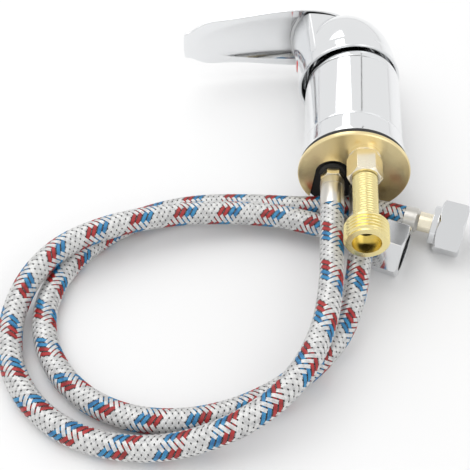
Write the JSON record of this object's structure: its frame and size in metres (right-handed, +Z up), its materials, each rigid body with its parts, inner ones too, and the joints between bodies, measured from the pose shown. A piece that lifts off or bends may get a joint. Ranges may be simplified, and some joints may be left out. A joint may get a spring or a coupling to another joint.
{
  "type": "shampoo basin mixer tap",
  "caption": "Single-lever mixer tap for a shampoo basin: chrome body and swinging lever, threaded outlet shank below, braided supply hoses with union nuts, laid on its side.",
  "frame": {"origin": "middle of the tap's footprint on the floor it lies on, hoses left out", "axes": "+Z up from the floor, +Y along the tap's axis from its base to its handle, -X the way the lever points"},
  "size_m": [0.2199, 0.2606, 0.0548],
  "materials": {
    "chrome": "bright chrome plate",
    "black_rubber": "matt black rubber",
    "plate_brass": "stained rolled brass",
    "shank_brass": "bright turned brass",
    "nickel": "nickel plated brass",
    "stainless": "stainless steel",
    "cartridge_plastic": "moulded plastic",
    "disc_ceramic": "lapped ceramic",
    "raw_brass": "machined brass",
    "red_plug": "glossy red plastic",
    "braid": "silver braid with red and blue threads"
  },
  "bodies": {
    "base": {"body": "chrome", "rubber_washer": "black_rubber", "clamp_plate": "plate_brass", "outlet_shank": "shank_brass", "fixing_nut": "nickel", "cartridge_base": "cartridge_plastic", "cartridge_seals": "black_rubber", "fixed_disc": "disc_ceramic", "cartridge_housing": "cartridge_plastic", "cartridge_nut": "raw_brass", "bonnet": "chrome", "left_nipple": "nickel", "left_nipple_ring": "black_rubber", "left_tap_ferrule": "stainless", "left_hose": "braid", "left_union_ferrule": "stainless", "left_union_tail": "nickel", "left_union_washer": "black_rubber", "right_nipple": "nickel", "right_nipple_ring": "black_rubber", "right_tap_ferrule": "stainless", "right_hose": "braid", "right_union_ferrule": "stainless", "right_union_tail": "nickel", "right_union_washer": "black_rubber"},
    "swivel": {"cartridge_driver": "cartridge_plastic"},
    "lever": {"handle": "chrome", "handle_screw": "stainless", "index_plug": "red_plug", "cartridge_stem": "raw_brass", "stem_pin": "stainless"},
    "disc": {"moving_disc": "disc_ceramic", "disc_carrier": "cartridge_plastic"},
    "left_nut": {"left_union_nut": "chrome"},
    "right_nut": {"right_union_nut": "chrome"}
  },
  "joints": [
    {"name": "handle_swivel", "type": "hinge", "parent": "base", "child": "swivel", "pos_m": [0.03299, 0.02564, 0.02715], "axis": [0, 1, 0], "range_deg": [0, 100]},
    {"name": "lever_tilt", "type": "hinge", "parent": "swivel", "child": "lever", "pos_m": [0.03299, 0.02564, 0.02715], "axis": [0, 0, -1], "range_deg": [0, 25]},
    {"name": "disc_slide", "type": "slide", "parent": "swivel", "child": "disc", "axis": [-1, 0, 0], "range_m": [0, 0.0072]},
    {"name": "left_nut_spin", "type": "hinge", "parent": "base", "child": "left_nut", "pos_m": [0.05829, -0.06316, 0.012], "axis": [0.9397, -0.342, 0], "continuous": true},
    {"name": "right_nut_spin", "type": "hinge", "parent": "base", "child": "right_nut", "pos_m": [0.08799, -0.04866, 0.012], "axis": [0.9613, -0.2756, 0], "continuous": true}
  ],
  "couplings": [
    {"joint": "disc_slide", "follows": "lever_tilt", "m_per_rad": 0.01629}
  ]
}
